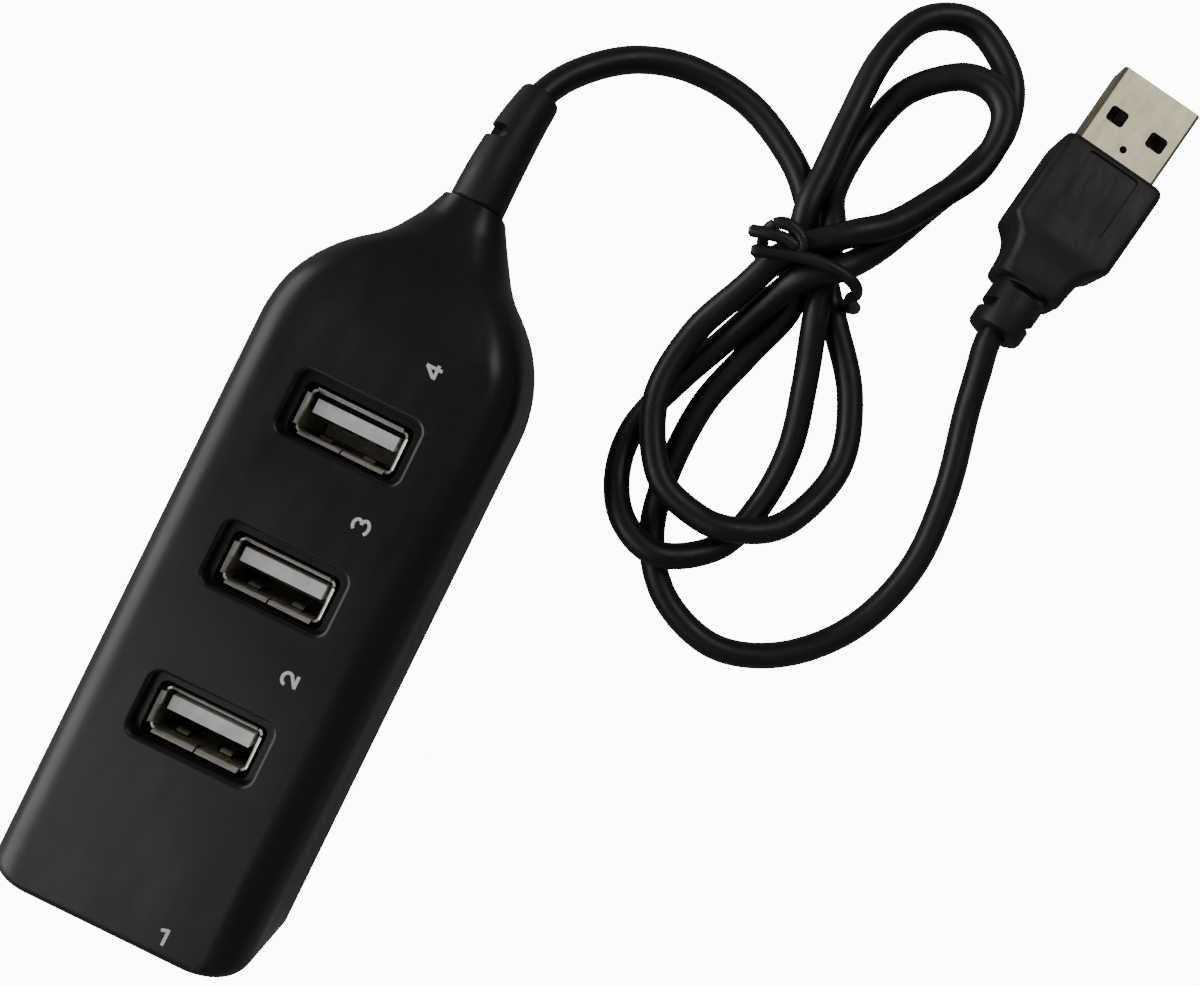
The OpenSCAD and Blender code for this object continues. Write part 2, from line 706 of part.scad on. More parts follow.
module plug_shell() {
    color([0.78, 0.77, 0.72]) at_plug() difference() {
        translate([0, plug_out, 0]) rotate([90, 0, 0])
            rounded_box(plug_w, plug_h, plug_out + shell_in, plug_wall_r);
        translate([0, plug_out + 1, 0]) rotate([90, 0, 0])
            rounded_box(plug_w - 2 * sheet, plug_h - 2 * sheet, plug_out + shell_in + 2,
                plug_wall_r - sheet / 2);
        for (sx = [-1, 1]) translate([sx * latch_x, latch_y, -plug_h])
            rounded_box(latch_w, latch_l, 2 * plug_h, 0.5);
        translate([0, 2.3, 0]) cylinder(h = plug_h, r = 0.5);
        translate([-0.05, 2.3, -plug_h]) cube([0.1, plug_out, plug_h]);
    }
}

module plug_insulator() {
    inner_w = plug_w - 2 * sheet - 2 * fit_gap;
    inner_h = plug_h - 2 * sheet - 2 * fit_gap;
    color([0.9, 0.9, 0.88]) at_plug() difference() {
        intersection() {
            translate([0, plug_out - 0.3, 0]) rotate([90, 0, 0]) rounded_box(
                inner_w, inner_h, plug_out + 0.8, plug_wall_r - sheet / 2 - fit_gap);
            translate([-plug_w, -shell_in, -plug_h]) cube([2 * plug_w, 2 * plug_out, plug_h - 0.04]);
        }
        for (x = contact_x) translate([x - 0.55, -2, -0.24]) cube([1.1, plug_out + 0.6, 1]);
    }
}

module plug_contacts() {
    color([0.85, 0.68, 0.3]) at_plug() for (i = [0 : 3])
        translate([contact_x[i] - 0.5, -1.05, -0.22])
            cube([1, plug_out - (i == 0 || i == 3 ? 0.6 : 1.6), 0.2]);
}

top_cover();
bottom_cover();
circuit_board();
hub_chip();
crystal();
capacitor();
chip_parts();
socket_shell(1);  // socket_1_shell
socket_insulator(1);  // socket_1_insulator
socket_contacts(1);  // socket_1_contacts
socket_shell(2);  // socket_2_shell
socket_insulator(2);  // socket_2_insulator
socket_contacts(2);  // socket_2_contacts
socket_shell(3);  // socket_3_shell
socket_insulator(3);  // socket_3_insulator
socket_contacts(3);  // socket_3_contacts
socket_shell(4);  // socket_4_shell
socket_insulator(4);  // socket_4_insulator
socket_contacts(4);  // socket_4_contacts
contact_tails();
wire_red();
wire_white();
wire_green();
wire_black();
hub_boot();
hub_lead();
cable_coil();
twist_tie();
plug_lead();
plug_grip();
plug_core();
plug_shell();
plug_insulator();
plug_contacts();
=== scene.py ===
"""Looks for the four-port USB-A hub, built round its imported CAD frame. Lengths are in millimetres."""

import json
import math

import bmesh
import bpy
from mathutils import Matrix, Vector


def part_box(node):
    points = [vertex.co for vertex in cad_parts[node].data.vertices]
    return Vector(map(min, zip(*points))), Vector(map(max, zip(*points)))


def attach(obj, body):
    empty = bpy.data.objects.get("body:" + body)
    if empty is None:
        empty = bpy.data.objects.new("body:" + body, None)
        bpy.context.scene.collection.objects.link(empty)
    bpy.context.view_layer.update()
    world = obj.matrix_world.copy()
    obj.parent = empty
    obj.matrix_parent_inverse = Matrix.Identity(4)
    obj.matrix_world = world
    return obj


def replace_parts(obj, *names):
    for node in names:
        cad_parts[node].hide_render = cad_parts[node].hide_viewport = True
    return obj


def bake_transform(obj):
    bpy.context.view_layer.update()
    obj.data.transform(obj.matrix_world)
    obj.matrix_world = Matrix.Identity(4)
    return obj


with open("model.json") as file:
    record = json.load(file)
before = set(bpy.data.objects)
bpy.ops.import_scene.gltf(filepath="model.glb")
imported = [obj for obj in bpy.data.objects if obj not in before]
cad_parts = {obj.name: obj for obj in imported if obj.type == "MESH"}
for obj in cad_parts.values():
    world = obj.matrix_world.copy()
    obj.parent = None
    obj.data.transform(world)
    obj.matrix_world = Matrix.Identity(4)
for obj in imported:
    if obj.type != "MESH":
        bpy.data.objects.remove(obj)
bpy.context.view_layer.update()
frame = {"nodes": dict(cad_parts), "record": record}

MM = 0.001  # metres; meshes are drawn in millimetres and kept in metres


# ------------------------------------------------------------------ mesh helpers

def new_object(name, verts, faces):
    """A mesh object from vertices in millimetres."""
    mesh = bpy.data.meshes.new(name)
    mesh.from_pydata([Vector(v) * MM for v in verts], [], faces)
    mesh.validate()
    mesh.update()
    obj = bpy.data.objects.new(name, mesh)
    bpy.context.scene.collection.objects.link(obj)
    return obj


def skin(name, rings, capped=True, closed_loop=False):
    """Quads over rings that each hold the same number of points."""
    count, sides = len(rings), len(rings[0])
    verts = [p for ring in rings for p in ring]
    faces = []
    for i in range(count if closed_loop else count - 1):
        j = (i + 1) % count
        for k in range(sides):
            m = (k + 1) % sides
            faces.append((i * sides + k, i * sides + m, j * sides + m, j * sides + k))
    if capped and not closed_loop:
        faces.append(tuple(reversed(range(sides))))
        faces.append(tuple((count - 1) * sides + k for k in range(sides)))
    obj = new_object(name, verts, faces)
    face_outwards(obj)
    return obj


def face_outwards(obj):
    work = bmesh.new()
    work.from_mesh(obj.data)
    bmesh.ops.recalc_face_normals(work, faces=work.faces)
    work.to_mesh(obj.data)
    work.free()


def apply_modifiers(obj):
    """Replaces the object's mesh by what its modifiers make of it."""
    bpy.context.view_layer.update()
    graph = bpy.context.evaluated_depsgraph_get()
    mesh = bpy.data.meshes.new_from_object(obj.evaluated_get(graph))
    obj.modifiers.clear()
    obj.data = mesh


def combine(obj, other, operation="DIFFERENCE"):
    """Boolean of two closed meshes; the second one is used up."""
    modifier = obj.modifiers.new("combine", "BOOLEAN")
    modifier.operation = operation
    modifier.solver = "EXACT"
    modifier.object = other
    apply_modifiers(obj)
    bpy.data.objects.remove(other)
    return obj


def soften(obj, width, segments=3, angle=38):
    """Rounds sharp edges, and smooths the shading between them."""
    bevel = obj.modifiers.new("edges", "BEVEL")
    bevel.width = width * MM
    bevel.segments = segments
    bevel.limit_method = "ANGLE"
    bevel.angle_limit = math.radians(angle)
    bevel.use_clamp_overlap = True
    bevel.harden_normals = True
    return shade(obj)


def shade(obj, angle=60):
    obj.data.shade_smooth()
    obj.data.set_sharp_from_angle(angle=math.radians(angle))
    return obj


def block(name, low, high):
    """A box between two corners, used as a cutter or a simple solid."""
    (x0, y0, z0), (x1, y1, z1) = low, high
    verts = [(x, y, z) for z in (z0, z1) for y in (y0, y1) for x in (x0, x1)]
    faces = [(0, 2, 3, 1), (4, 5, 7, 6), (0, 1, 5, 4), (2, 6, 7, 3), (0, 4, 6, 2), (1, 3, 7, 5)]
    return new_object(name, verts, faces)


def rounded_rectangle(width, depth, radius, steps=6):
    """Outline of a rounded rectangle round the origin, as (u, v) points."""
    points = []
    for quarter in range(4):
        cu = (width / 2 - radius) * (1 if quarter in (0, 3) else -1)
        cv = (depth / 2 - radius) * (1 if quarter < 2 else -1)
        for k in range(steps + 1):
            a = math.radians(90 * quarter + 90 * k / steps)
            points.append((cu + radius * math.cos(a), cv + radius * math.sin(a)))
    return points


def prism(name, outline, z0, z1):
    """Upright solid over an outline of (x, y) points."""
    return skin(name, [[(u, v, z) for u, v in outline] for z in (z0, z1)])


def placed(obj, matrix):
    """Moves a mesh drawn in millimetres at the origin to its place; the object stays at the origin."""
    obj.data.transform(matrix)
    obj.data.update()
    return obj


# ------------------------------------------------------------------ curves

def unit(v):
    return Vector(v).normalized()


def spline(points, steps):
    """Catmull-Rom curve through points, with this many steps between neighbours."""
    p = [Vector(q) for q in points]
    ends = [2 * p[0] - p[1]] + p + [2 * p[-1] - p[-2]]
    curve = []
    for a, b, c, d in zip(ends, ends[1:], ends[2:], ends[3:]):
        for k in range(steps):
            t = k / steps
            curve.append(0.5 * (2 * b + (c - a) * t + (2 * a - 5 * b + 4 * c - d) * t * t
                                + (3 * b - a - 3 * c + d) * t ** 3))
    curve.append(p[-1])
    return curve


def directions(path):
    last = len(path) - 1
    return [unit(path[min(i + 1, last)] - path[max(i - 1, 0)]) for i in range(last + 1)]


def ring(centre, along, section):
    """Section points (u across, v up) in the plane square to a direction."""
    across = unit(Vector(along).cross((0, 0, 1)))
    up = across.cross(along)
    return [centre + across * u + up * v for u, v in section]


def circle(radius, sides):
    return [(radius * math.cos(2 * math.pi * k / sides), radius * math.sin(2 * math.pi * k / sides))
            for k in range(sides)]


def ease(t):
    u = min(max(t, 0), 1)
    return u * u * (3 - 2 * u)


def between(a, b, t):
    return a + (b - a) * t


# ------------------------------------------------------------------ materials

class Nodes:
    """Short-hand for building a node material."""

    def __init__(self, name):
        self.material = bpy.data.materials.new(name)
        self.material.use_nodes = True
        self.tree = self.material.node_tree
        self.shader = self.tree.nodes["Principled BSDF"]
        self.place = self.add("ShaderNodeTexCoord").outputs["Object"]

    def add(self, kind, **settings):
        node = self.tree.nodes.new(kind)
        for key, value in settings.items():
            setattr(node, key, value)
        return node

    def link(self, source, target):
        self.tree.links.new(source, target)

    def noise(self, scale, detail=3.0, roughness=0.5, stretch=None):
        node = self.add("ShaderNodeTexNoise")
        node.inputs["Scale"].default_value = scale
        node.inputs["Detail"].default_value = detail
        node.inputs["Roughness"].default_value = roughness
        if stretch:
            mapping = self.add("ShaderNodeMapping")
            mapping.inputs["Scale"].default_value = stretch
            self.link(self.place, mapping.inputs["Vector"])
            self.link(mapping.outputs["Vector"], node.inputs["Vector"])
        else:
            self.link(self.place, node.inputs["Vector"])
        return node.outputs["Fac"]

    def remap(self, value, low, high, start=0.0, stop=1.0):
        """Maps start..stop of a value on to low..high."""
        node = self.add("ShaderNodeMapRange")
        node.inputs["From Min"].default_value = start
        node.inputs["From Max"].default_value = stop
        node.inputs["To Min"].default_value = low
        node.inputs["To Max"].default_value = high
        self.link(value, node.inputs["Value"])
        return node.outputs["Result"]

    def mix(self, factor, first, second):
        node = self.add("ShaderNodeMix", data_type="RGBA")
        self.link(factor, node.inputs["Factor"])
        for socket, value in ((node.inputs[6], first), (node.inputs[7], second)):
            if isinstance(value, (tuple, list)):
                socket.default_value = (*value, 1)
            else:
                self.link(value, socket)
        return node.outputs[2]

    def bump(self, *layers):
        """Stacks (height, strength, distance in millimetres) layers of bump."""
        normal = None
        for height, strength, distance in layers:
            node = self.add("ShaderNodeBump")
            node.inputs["Strength"].default_value = strength
            node.inputs["Distance"].default_value = distance * MM
            self.link(height, node.inputs["Height"])
            if normal:
                self.link(normal, node.inputs["Normal"])
            normal = node.outputs["Normal"]
        self.link(normal, self.shader.inputs["Normal"])

    def painted_shade_openness(self):
        """1 on free faces, falling towards 0 in narrow places; the mask for painted shade."""
        node = self.add("ShaderNodeAmbientOcclusion", samples=6)
        node.inputs["Distance"].default_value = 6 * MM
        return node.outputs["AO"]


def plastic(name, dark, light, rough, blotch=60, grain=2600, grain_depth=0.012):
    """Moulded plastic: mottled colour and gloss over a fine grain."""
    n = Nodes(name)
    mottle = n.noise(blotch, 5, 0.6)
    n.link(n.mix(n.remap(mottle, 0, 1, 0.35, 0.65), dark, light), n.shader.inputs["Base Color"])
    streaks = n.noise(blotch * 4, 4, 0.7, stretch=(1, 0.25, 1))
    n.link(n.remap(streaks, rough[0], rough[1], 0.3, 0.7), n.shader.inputs["Roughness"])
    n.bump((n.noise(grain, 2), 0.35, grain_depth), (n.noise(blotch * 1.5, 2), 0.15, 0.05))
    return n.material


def metal(name, dark, light, rough, brush=(1, 1, 1), grain=1500, scratch=0.004, painted_shade_colour=None):
    """Plated sheet: metallic, with a brushed grain, small scratches and dull patches.

    A painted shade colour darkens what lies deep between other faces, where shade falls."""
    n = Nodes(name)
    patches = n.noise(220, 4, 0.6)
    colour = n.mix(n.remap(patches, 0, 1, 0.35, 0.7), dark, light)
    # painted shade: the base colour goes towards the dark shade colour where other faces close round
    if painted_shade_colour:
        colour = n.mix(n.remap(n.painted_shade_openness(), 0, 1, 0.18, 0.45), painted_shade_colour, colour)
    n.link(colour, n.shader.inputs["Base Color"])
    n.shader.inputs["Metallic"].default_value = 1
    brushed = n.noise(grain, 3, 0.6, stretch=brush)
    n.link(n.remap(brushed, rough[0], rough[1], 0.3, 0.7), n.shader.inputs["Roughness"])
    n.bump((brushed, 0.25, scratch), (n.noise(500, 2), 0.12, 0.01))
    return n.material


def board_green(name):
    """Solder mask over tracks: paler lines where copper lies under it."""
    n = Nodes(name)
    wave = n.add("ShaderNodeTexWave", wave_type="BANDS", bands_direction="X")
    wave.inputs["Scale"].default_value = 160
    wave.inputs["Distortion"].default_value = 6
    wave.inputs["Detail"].default_value = 0
    wave.inputs["Detail Scale"].default_value = 0.4
    n.link(n.place, wave.inputs["Vector"])
    tracks = n.remap(wave.outputs["Fac"], 0, 1, 0.62, 0.68)
    n.link(n.mix(tracks, (0.008, 0.09, 0.03), (0.02, 0.2, 0.07)), n.shader.inputs["Base Color"])
    n.shader.inputs["Roughness"].default_value = 0.3
    n.bump((tracks, 0.5, 0.03), (n.noise(1500, 2), 0.2, 0.01))
    return n.material


def grey(value):
    return (value, value, value)


BLACK = (0.008, 0.008, 0.0082)
PALE_BLACK = (0.014, 0.014, 0.0135)

LOOKS = {
    "case_plastic": plastic("case_abs", BLACK, PALE_BLACK, (0.28, 0.42)),
    "moulded_pvc": plastic("moulded_pvc", grey(0.008), PALE_BLACK, (0.42, 0.6), 90, 1800, 0.02),
    "cable_pvc": plastic("cable_pvc", grey(0.007), (0.012, 0.012, 0.0115), (0.34, 0.5), 120, 2200, 0.012),
    "tie_plastic": plastic("tie_pvc", grey(0.008), grey(0.015), (0.3, 0.5), 200, 2500, 0.02),
    "insulator": plastic("insulator", (0.72, 0.72, 0.69), (0.9, 0.9, 0.87), (0.35, 0.5), 420, 2500, 0.01),
    "chip_black": plastic("epoxy", (0.015, 0.015, 0.016), grey(0.03), (0.5, 0.65), 200, 4000, 0.02),
    "ceramic": plastic("ceramic", (0.22, 0.15, 0.1), (0.4, 0.3, 0.2), (0.4, 0.6), 300, 3000, 0.02),
    "capacitor_sleeve": plastic("sleeve", (0.01, 0.01, 0.05), (0.02, 0.02, 0.09), (0.2, 0.35), 150, 2000,
                                0.01),
    # painted shade: the nickel goes dark brown deep inside the sockets
    "socket_steel": metal("socket_nickel", (0.86, 0.83, 0.74), (0.97, 0.95, 0.87), (0.34, 0.44), (1, 1, 0.2),
                          700, 0.001, (0.1, 0.075, 0.055)),
    "plug_steel": metal("plug_nickel", (0.4, 0.36, 0.23), (0.46, 0.42, 0.28), (0.26, 0.34), (1, 0.3, 1), 900,
                        0.002),
    "crystal_can": metal("crystal_can", (0.55, 0.55, 0.56), (0.75, 0.75, 0.76), (0.2, 0.35)),
    "tin": metal("tin", (0.5, 0.5, 0.48), (0.7, 0.7, 0.68), (0.3, 0.45)),
    "plug_plastic": plastic("plug_plastic", (0.1, 0.1, 0.11), (0.2, 0.2, 0.21), (0.25, 0.4), 150, 2500, 0.01),
    "contact_tin": metal("contact_nickel", (0.3, 0.31, 0.33), (0.5, 0.51, 0.53), (0.2, 0.35), (1, 0.1, 1)),
    "gold": metal("gold_flash", (0.62, 0.43, 0.16), (0.86, 0.64, 0.28), (0.2, 0.35), (1, 1, 0.1)),
    "board": board_green("solder_mask"),
    "wire_red": plastic("wire_red", (0.35, 0.01, 0.01), (0.5, 0.03, 0.02), (0.3, 0.4), 300),
    "wire_white": plastic("wire_white", (0.7, 0.7, 0.68), (0.8, 0.8, 0.78), (0.3, 0.4), 300),
    "wire_green": plastic("wire_green", (0.01, 0.18, 0.04), (0.02, 0.28, 0.07), (0.3, 0.4), 300),
    "wire_black": plastic("wire_black", grey(0.01), grey(0.02), (0.3, 0.4), 300),
}
INK = plastic("numeral_ink", (0.78, 0.78, 0.77), (0.92, 0.92, 0.91), (0.4, 0.6), 900, 4000, 0.01)


def finish_as(obj, slot):
    """Gives a new piece the look that goes with a record slot."""
    obj.data.materials.clear()
    obj.data.materials.append(LOOKS[slot])
    return obj


# ------------------------------------------------------------------ sizes

def box_mm(node):
    low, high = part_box(node)
    return low / MM, high / MM


# read from the frame
top_low, top_high = box_mm("top_cover")
TAIL_Y, NECK_Y = top_low.y, top_high.y
HALF_W = top_high.x
CASE_H = top_high.z
SEAM_Z = top_low.z
# Typed in, not read from the frame. The edge radii, the shoulder, the throat and the neck's heights follow
# numbers that a fitting program gave.
WALL = 1.6
OVER = 1  # how far cutters reach past the faces that they cut
TOP_EDGE_R = 4.8
BOTTOM_EDGE_R = 1.5
TAIL_CORNER_R = 2.8
TAIL_EDGE_R = 1.2
SHOULDER_Y, SHOULDER_R, SHOULDER_END = 25.6, 20.2, math.radians(50)
THROAT_R, THROAT_END = 10, math.radians(29)
BEND_Y = SHOULDER_Y + SHOULDER_R * math.sin(SHOULDER_END)
BEND_HALF = HALF_W - SHOULDER_R * (1 - math.cos(SHOULDER_END))
STRAIGHT_Y = BEND_Y + THROAT_R * (math.sin(SHOULDER_END) - math.sin(THROAT_END))
NECK_TOP_Z, NECK_BOTTOM_Z = 14.8, 7.2
SLOPE_TOP_Y, SLOPE_BOTTOM_Y, SLOPE_END_Y = 30.6, 36.6, NECK_Y - 0.4
NECK_WALL = 4
STEM_R = 2.15
BOOT_Z = (NECK_TOP_Z + NECK_BOTTOM_Z) / 2
WINDOW_W, WINDOW_D, WINDOW_R, WINDOW_RIM_R = 16.4, 8.3, 1.4, 0.55
OPENING_W, OPENING_D = 14.5, 7.1
WINDOW_SHIFT = 0.4
PORT_MOUTH_Z = 18
TAIL_RECESS = 1.3
SOCKET_W, SOCKET_D, SOCKET_H = 13.1, 5.72, 14
SHEET = 0.3
CABLE_R = 1.8


def port_matrix(n):
    """Takes a socket drawn mouth up at the origin, in metres, to port n."""
    low, high = box_mm(f"socket_{n}_insulator")
    middle = (low + high) / 2
    if n == 1:
        mouth = TAIL_Y + TAIL_RECESS
        return Matrix.Translation(Vector((middle.x, mouth + SOCKET_H, middle.z)) * MM) @ Matrix.Rotation(
            math.radians(90), 4, "X")
    return Matrix.Translation(Vector((middle.x, middle.y, low.z - 0.3)) * MM)


# ------------------------------------------------------------------ case

def quarter_drop(distance, radius):
    """How far a rounded edge falls at this distance from it."""
    d = radius - min(max(distance, 0), radius)
    return radius - math.sqrt(radius * radius - d * d)


def plan_half(y):
    if y < BEND_Y:
        u = max((y - SHOULDER_Y) / SHOULDER_R, 0)
        return HALF_W - SHOULDER_R * (1 - math.sqrt(1 - u * u)) - quarter_drop(y - TAIL_Y, TAIL_CORNER_R)
    angle = math.asin(max(math.sin(SHOULDER_END) - (y - BEND_Y) / THROAT_R, math.sin(THROAT_END)))
    return (BEND_HALF - THROAT_R * (math.cos(angle) - math.cos(SHOULDER_END))
            - max(0, y - STRAIGHT_Y) * math.tan(THROAT_END))


def top_at(y):
    slope = ease((y - SLOPE_TOP_Y) / (SLOPE_END_Y - SLOPE_TOP_Y))
    return between(CASE_H, NECK_TOP_Z, slope) - quarter_drop(y - TAIL_Y, TAIL_EDGE_R)


def bottom_at(y):
    slope = ease((y - SLOPE_BOTTOM_Y) / (SLOPE_END_Y - SLOPE_BOTTOM_Y))
    return between(0, NECK_BOTTOM_Z, slope) + quarter_drop(y - TAIL_Y, TAIL_EDGE_R)


def arc(cx, cz, radius, start, steps):
    return [(cx + radius * math.cos(math.radians(start + 90 * k / steps)),
             cz + radius * math.sin(math.radians(start + 90 * k / steps))) for k in range(steps + 1)]


def case_ring(y, inset, steps):
    w = plan_half(y) - inset
    high, low = top_at(y) - inset, bottom_at(y) + inset
    rt = max(0.3, min(TOP_EDGE_R, w * 0.8) - inset)
    rb = max(0.3, min(BOTTOM_EDGE_R + 1.6 * ease((y - SLOPE_BOTTOM_Y) / 8), w * 0.8) - inset)
    outline = (arc(w - rt, high - rt, rt, 0, steps) + arc(rt - w, high - rt, rt, 90, steps)
               + arc(rb - w, low + rb, rb, 180, steps) + arc(w - rb, low + rb, rb, 270, steps))
    return [(x, y, z) for x, z in outline]


def case_stations():
    tail = [TAIL_Y + 0.01 + TAIL_CORNER_R * (1 - math.cos(math.radians(90 * k / 16))) for k in range(17)]
    body = [between(tail[-1], SHOULDER_Y, k / 8) for k in range(1, 8)]
    shoulder = [between(SHOULDER_Y, NECK_Y, k / 52) for k in range(53)]
    return tail + body + shoulder


def case_form(name, inset, steps=12):
    return skin(name, [case_ring(y, inset, steps) for y in case_stations()])


def hollow():
    form = case_form("hollow", WALL, 5)
    room = block("room", (-HALF_W, TAIL_Y + WALL, -OVER), (HALF_W, NECK_Y - NECK_WALL, CASE_H + OVER))
    return combine(form, room, "INTERSECT")


def window_cutters(n):
    """The recess round a port, with a rounded rim, and the opening for its socket."""
    rim_top = SOCKET_H + (TAIL_RECESS if n == 1 else CASE_H - PORT_MOUTH_Z)
    profile = [(0, SOCKET_H - 0.05)]
    for angle in (0, 20, 40, 60, 80):
        a = math.radians(angle)
        profile.append((WINDOW_RIM_R * (1 - math.cos(a)), rim_top - WINDOW_RIM_R * (1 - math.sin(a))))
    profile.append((profile[-1][0], SOCKET_H + 5))
    recess = skin("recess", [[(u, v + WINDOW_SHIFT, z) for u, v in rounded_rectangle(
        WINDOW_W + 2 * out, WINDOW_D + 2 * out, WINDOW_R + out)] for out, z in profile])
    outline = rounded_rectangle(OPENING_W, OPENING_D, 1)
    opening = prism("opening", outline, SOCKET_H - 4, SOCKET_H + OVER)
    return [placed(cutter, port_matrix(n)) for cutter in (recess, opening)]


def window_frame(n):
    """Thicker wall round a port, under the recess."""
    outline = rounded_rectangle(WINDOW_W + 2, WINDOW_D + 2, 1.5)
    return placed(prism("frame", outline, SOCKET_H - 1.5, SOCKET_H - 0.02), port_matrix(n))


def straight_rod(name, radius, sides, start, stop, z=0):
    """Round rod along Y."""
    return skin(name, [[(u, y, z + v) for u, v in circle(radius, sides)] for y in (start, stop)])


def neck_bore():
    return straight_rod("bore", STEM_R + 0.05, 40, NECK_Y - NECK_WALL - 0.5, NECK_Y + OVER, BOOT_Z)


def cover(name, ports, low_z, high_z):
    """One half of the case between two heights, with its port windows."""
    shell = combine(case_form(name, 0), hollow())
    for n in ports:
        combine(shell, window_frame(n), "UNION")
    slab = block("slab", (-HALF_W - OVER, TAIL_Y - OVER, low_z), (HALF_W + OVER, NECK_Y + OVER, high_z))
    combine(shell, slab, "INTERSECT")
    for n in ports:
        for cutter in window_cutters(n):
            combine(shell, cutter)
    combine(shell, neck_bore())
    return shell


def build_case():
    seam_gap = 0.04
    upper = cover("top_cover_shell", (1, 2, 3, 4), SEAM_Z + seam_gap, CASE_H + 5)
    lower = cover("bottom_cover_shell", (1,), -5, SEAM_Z - seam_gap)
    for piece, node in ((upper, "top_cover"), (lower, "bottom_cover")):
        finish_as(piece, "case_plastic")
        soften(piece, 0.45, 4)
        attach(piece, "case")
        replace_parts(piece, node)


# ------------------------------------------------------------------ numerals

NUMERAL_H = 2.1
STROKE_W = 0.42


def numeral_strokes(digit):
    """Centre lines of a plain numeral on a cell 0.8 wide and 1 high."""
    def bow(cx, cy, rx, ry, start, stop, steps=14):
        angles = [math.radians(between(start, stop, k / steps)) for k in range(steps + 1)]
        return [(cx + rx * math.cos(a), cy + ry * math.sin(a)) for a in angles]

    return {
        1: [[(0.44, 1.0), (0.44, 0)], [(0.44, 0.93), (0.02, 0.8)]],
        2: [bow(0.4, 0.66, 0.36, 0.31, 175, -35) + [(0.12, 0.12)], [(0.02, 0.09), (0.8, 0.09)]],
        3: [bow(0.36, 0.72, 0.34, 0.25, 150, -75), bow(0.36, 0.27, 0.4, 0.27, 75, -160)],
        4: [[(0.62, 0), (0.62, 1)], [(0.62, 0.93), (0.05, 0.36)], [(0, 0.3), (0.86, 0.3)]],
    }[digit]


def stroke_ribbon(points, width, z0, z1):
    """Closed flat ribbon round one centre line; returns its vertices and faces."""
    pts = [Vector((x, y, 0)) for x, y in points]
    ways = directions(pts)
    left, right = [], []
    for i, p in enumerate(pts):
        before = unit(pts[i] - pts[i - 1]) if i else ways[0]
        after = unit(pts[i + 1] - pts[i]) if i + 1 < len(pts) else ways[-1]
        square = before.cross((0, 0, 1))
        side = unit(before + after).cross((0, 0, 1)) if (before + after).length > 0.2 else square
        half = width / 2 / max(0.45, side.dot(square))
        left.append(p + side * half)
        right.append(p - side * half)
    count = len(pts)
    verts = [(v.x, v.y, z) for z in (z0, z1) for row in (left, right) for v in row]
    faces = []
    for i in range(count - 1):
        a, b, c, d = i, i + 1, count + i + 1, count + i
        faces += [(a, b, c, d), tuple(2 * count + v for v in (d, c, b, a)),
                  (a, 2 * count + a, 2 * count + b, b), (d, c, 2 * count + c, 2 * count + d)]
    for a, d in ((0, count), (count - 1, 2 * count - 1)):
        faces.append((a, d, 2 * count + d, 2 * count + a))
    return verts, faces


def numeral(digit, centre, turn):
    """Ink numeral lying on the top face. Each stroke is a little thicker, so that no faces coincide."""
    name = f"port_numeral_{digit}"
    piece = None
    for i, stroke in enumerate(numeral_strokes(digit)):
        line = [((x - 0.4) * NUMERAL_H, (y - 0.5) * NUMERAL_H) for x, y in stroke]
        part = new_object(name, *stroke_ribbon(line, STROKE_W, -0.03 - 0.005 * i, 0.02 + 0.004 * i))
        face_outwards(part)
        piece = combine(piece, part, "UNION") if piece else part
    placed(piece, Matrix.Translation(Vector((centre[0], centre[1], top_at(centre[1]))) * MM)
           @ Matrix.Rotation(math.radians(turn), 4, "Z"))
    piece.data.materials.clear()
    piece.data.materials.append(INK)
    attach(piece, "case")
    return piece


def build_numerals():
    numeral(4, (6.25, 28.6), 90)
    numeral(3, (6.6, 8.1), 90)
    numeral(2, (7.1, -12.4), 90)
    numeral(1, (7.2, -46.9), 0)


# ------------------------------------------------------------------ sockets

def sheet_rings(profile, width, depth, radius):
    """Rings of a folded sheet sleeve; profile holds (outward offset, height) of one skin."""
    rings = []
    for out, z in profile:
        outline = rounded_rectangle(width + 2 * out, depth + 2 * out, max(0.1, radius + out))
        rings.append([(u, v, z) for u, v in outline])
    return rings


def socket_shell_mesh(name):
    """Receptacle shell: thin sleeve, flared lips parted at the corners, spring tabs and a seam."""
    flare_z, flare_r, turn, steps = SOCKET_H - 0.95, 0.85, math.radians(62), 8
    outer, inner = [(0, 0.1), (0, flare_z)], [(-SHEET, 0.1), (-SHEET, flare_z)]
    for k in range(1, steps + 1):
        a = turn * k / steps
        middle = (flare_r * (1 - math.cos(a)) - SHEET / 2, flare_z + flare_r * math.sin(a))
        normal = (math.cos(a) * SHEET / 2, -math.sin(a) * SHEET / 2)
        outer.append((middle[0] + normal[0], middle[1] + normal[1]))
        inner.append((middle[0] - normal[0], middle[1] - normal[1]))
    profile = outer + inner[::-1]
    shell = skin(name, sheet_rings(profile, SOCKET_W, SOCKET_D, 0.7), closed_loop=True)
    for sx in (-1, 1):
        for sy in (-1, 1):
            x, y = sx * SOCKET_W / 2, sy * SOCKET_D / 2
            gap = block("gap", (x - 0.75, y - 0.75, flare_z + 0.1), (x + 0.75, y + 0.75, SOCKET_H + 1))
            combine(shell, gap)
            wx = sx * 3
            window = block("window", (wx - 1.1, y - 0.5, 5.2), (wx + 1.1, y + 0.5, 11.6))
            combine(shell, window)
            combine(shell, spring_tab(wx, y, sy), "UNION")
    wall_y = -SOCKET_D / 2
    seam = block("seam", (-0.12, wall_y - 1.5, SOCKET_H - 2.6), (0.12, wall_y + 0.5, SOCKET_H + 1))
    combine(shell, seam)
    return shell


